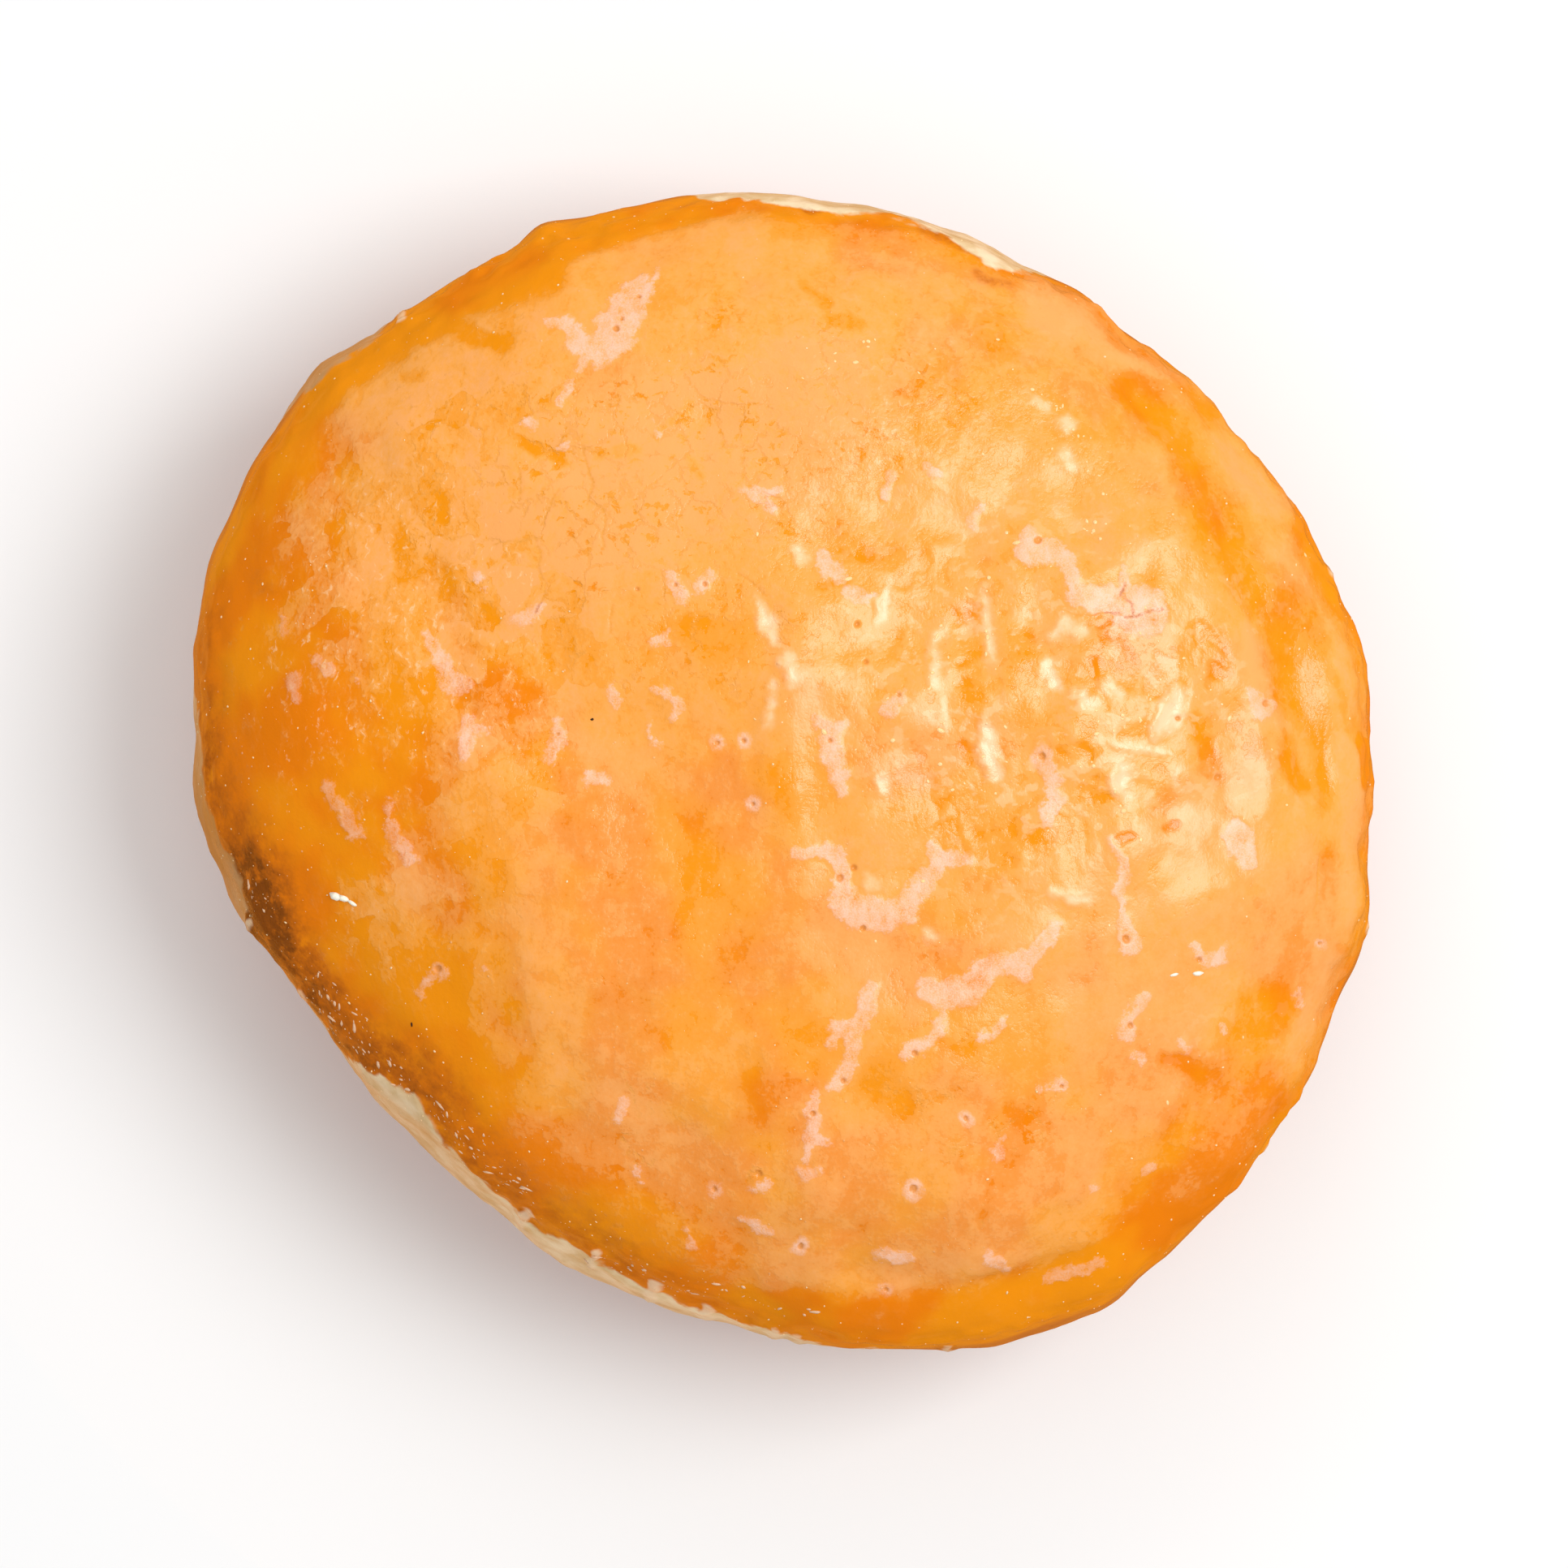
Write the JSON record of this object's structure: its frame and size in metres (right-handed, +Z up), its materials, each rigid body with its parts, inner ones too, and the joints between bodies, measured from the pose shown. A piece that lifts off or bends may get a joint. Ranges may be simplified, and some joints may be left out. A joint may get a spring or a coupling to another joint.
{
  "type": "bavarian cream doughnut",
  "caption": "Filled yeast doughnut without a hole: a crowned, glazed golden round with a pale belt at its side and a flat foot.",
  "frame": {"origin": "on the surface it stands on, under the middle of its outline seen from above", "axes": "+Z up, out of the crown; +X to the right and +Y away from the viewer as the picture shows it from above"},
  "size_m": [0.096, 0.094, 0.04],
  "materials": {
    "glazed_crust": "golden fried crust under thin set sugar glaze: milky and lumpy on top, clear and darker at the shoulders, pale at the belt"
  },
  "bodies": {
    "root": {"doughnut": "glazed_crust"}
  },
  "joints": []
}
